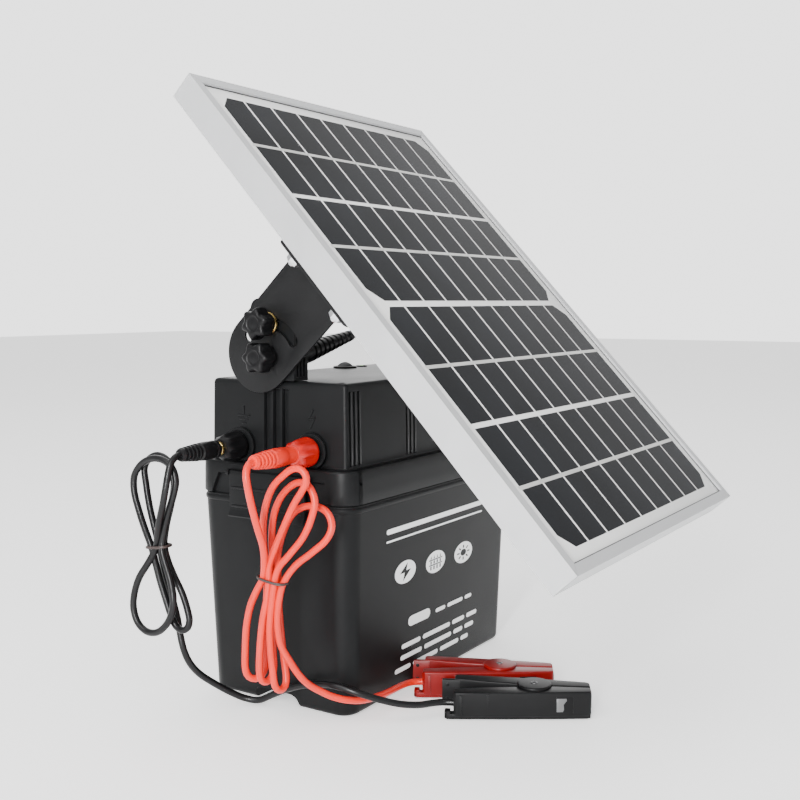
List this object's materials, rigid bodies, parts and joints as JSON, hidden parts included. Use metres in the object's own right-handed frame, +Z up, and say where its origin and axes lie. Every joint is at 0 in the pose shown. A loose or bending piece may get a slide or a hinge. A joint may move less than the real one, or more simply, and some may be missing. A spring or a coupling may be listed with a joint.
{
  "type": "fence energizer",
  "caption": "Solar fence energizer: tapered battery box, clip-on energizer head with output terminals and clip leads, and a tilting solar panel on side brackets.",
  "frame": {"origin": "bottom centre of the box around the unit without its output leads, on the floor", "axes": "+Z up; the label face looks along -Y; +X to the right of the label face, so the output terminals are on the -X side"},
  "size_m": [0.2837, 0.2667, 0.3673],
  "materials": {
    "case_plastic": "satin moulded",
    "battery_plastic": "satin moulded",
    "foam": "open cell",
    "brass": "satin",
    "seal_rubber": "matte",
    "circuit_board": "solder resist",
    "transformer": "varnished",
    "knob_black": "semi gloss",
    "knob_red": "semi gloss",
    "bracket_steel": "satin powder coat",
    "zinc_steel": "zinc plated",
    "panel_aluminium": "satin anodised",
    "solar_glass": "low iron over cells",
    "lens": "clear",
    "lead_red": "smooth PVC",
    "lead_black": "smooth PVC",
    "clip_red": "satin PVC",
    "clip_black": "satin PVC",
    "label_print": "printed film",
    "cable_tie": "coated wire"
  },
  "bodies": {
    "base": {"battery_box": "case_plastic", "battery": "battery_plastic", "battery_tab_positive": "brass", "battery_tab_negative": "brass", "battery_pad": "foam"},
    "head": {"energizer_housing": "case_plastic", "rim_gasket": "seal_rubber", "electronics_tray": "case_plastic", "circuit_board": "circuit_board", "pulse_transformer": "transformer", "storage_capacitor": "battery_plastic", "mast_left": "case_plastic", "mast_right": "case_plastic", "fence_terminal_base": "case_plastic", "earth_terminal_base": "case_plastic", "fence_stud": "brass", "earth_stud": "brass", "pulse_lens": "lens", "pivot_stud_left": "brass", "pivot_stud_right": "brass", "lock_stud_left": "brass", "lock_stud_right": "brass", "pv_plug": "lead_black", "pv_cable": "lead_black", "fence_plug": "lead_red", "fence_lead_drop": "lead_red", "fence_lead_hank": "lead_red", "fence_lead_tail": "lead_red", "fence_clip_body": "clip_red", "fence_clip_pin": "zinc_steel", "earth_plug": "lead_black", "earth_lead_drop": "lead_black", "earth_lead_hank": "lead_black", "earth_lead_tail": "lead_black", "earth_clip_body": "clip_black", "earth_clip_pin": "zinc_steel"},
    "latch_left": {"latch_left": "case_plastic"},
    "latch_right": {"latch_right": "case_plastic"},
    "power_button": {"power_button": "seal_rubber"},
    "fence_knob": {"fence_knob": "knob_red"},
    "earth_knob": {"earth_knob": "knob_black"},
    "pivot_knob_left": {"pivot_knob_left": "knob_black"},
    "lock_knob_left": {"lock_knob_left": "knob_black"},
    "pivot_knob_right": {"pivot_knob_right": "knob_black"},
    "lock_knob_right": {"lock_knob_right": "knob_black"},
    "panel": {"panel_frame_lower": "panel_aluminium", "panel_frame_upper": "panel_aluminium", "panel_frame_left": "panel_aluminium", "panel_frame_right": "panel_aluminium", "solar_laminate": "solar_glass", "junction_box": "case_plastic", "bracket_left": "bracket_steel", "bracket_right": "bracket_steel", "flange_bolt_left_upper": "zinc_steel", "flange_bolt_left_lower": "zinc_steel", "flange_bolt_right_upper": "zinc_steel", "flange_bolt_right_lower": "zinc_steel"},
    "fence_clip_arm": {"fence_clip_arm": "clip_red"},
    "earth_clip_arm": {"earth_clip_arm": "clip_black"}
  },
  "joints": [
    {"name": "head_lift", "type": "slide", "parent": "base", "child": "head", "axis": [0, 0, 1], "range_m": [0, 0.06]},
    {"name": "panel_tilt", "type": "hinge", "parent": "head", "child": "panel", "pos_m": [0, 0.07565, 0.207], "axis": [1, 0, 0], "range_deg": [-47, 23], "deforming": ["pv_cable"]},
    {"name": "latch_left_flip", "type": "hinge", "parent": "head", "child": "latch_left", "pos_m": [-0.1018, 0.07365, 0.138], "axis": [0, 1, 0], "range_deg": [0, 30]},
    {"name": "latch_right_flip", "type": "hinge", "parent": "head", "child": "latch_right", "pos_m": [0.1018, 0.07365, 0.138], "axis": [0, -1, 0], "range_deg": [0, 30]},
    {"name": "power_press", "type": "slide", "parent": "head", "child": "power_button", "axis": [0, 0, -1], "range_m": [0, 0.0015], "stiffness_N_per_m": 400, "springref_m": -0.0005},
    {"name": "fence_knob_turn", "type": "hinge", "parent": "head", "child": "fence_knob", "pos_m": [-0.105, 0.04715, 0.1535], "axis": [-1, 0, 0], "range_deg": [0, 720]},
    {"name": "earth_knob_turn", "type": "hinge", "parent": "head", "child": "earth_knob", "pos_m": [-0.105, 0.10015, 0.1535], "axis": [-1, 0, 0], "range_deg": [0, 720]},
    {"name": "pivot_knob_left_turn", "type": "hinge", "parent": "head", "child": "pivot_knob_left", "pos_m": [-0.1035, 0.07565, 0.207], "axis": [-1, 0, 0], "range_deg": [0, 720]},
    {"name": "pivot_knob_right_turn", "type": "hinge", "parent": "head", "child": "pivot_knob_right", "pos_m": [0.1035, 0.07565, 0.207], "axis": [1, 0, 0], "range_deg": [0, 720]},
    {"name": "lock_knob_left_turn", "type": "hinge", "parent": "head", "child": "lock_knob_left", "pos_m": [-0.1035, 0.07565, 0.2265], "axis": [-1, 0, 0], "range_deg": [0, 720]},
    {"name": "lock_knob_right_turn", "type": "hinge", "parent": "head", "child": "lock_knob_right", "pos_m": [0.1035, 0.07565, 0.2265], "axis": [1, 0, 0], "range_deg": [0, 720]},
    {"name": "fence_clip_squeeze", "type": "hinge", "parent": "head", "child": "fence_clip_arm", "pos_m": [-0.00711, -0.02998, 0.008], "axis": [0, 0, 1], "range_deg": [0, 18], "stiffness_Nm_per_rad": 0.6, "springref_deg": -17.19},
    {"name": "earth_clip_squeeze", "type": "hinge", "parent": "head", "child": "earth_clip_arm", "pos_m": [-0.02711, -0.06298, 0.008], "axis": [0, 0, 1], "range_deg": [0, 18], "stiffness_Nm_per_rad": 0.6, "springref_deg": -17.19}
  ]
}
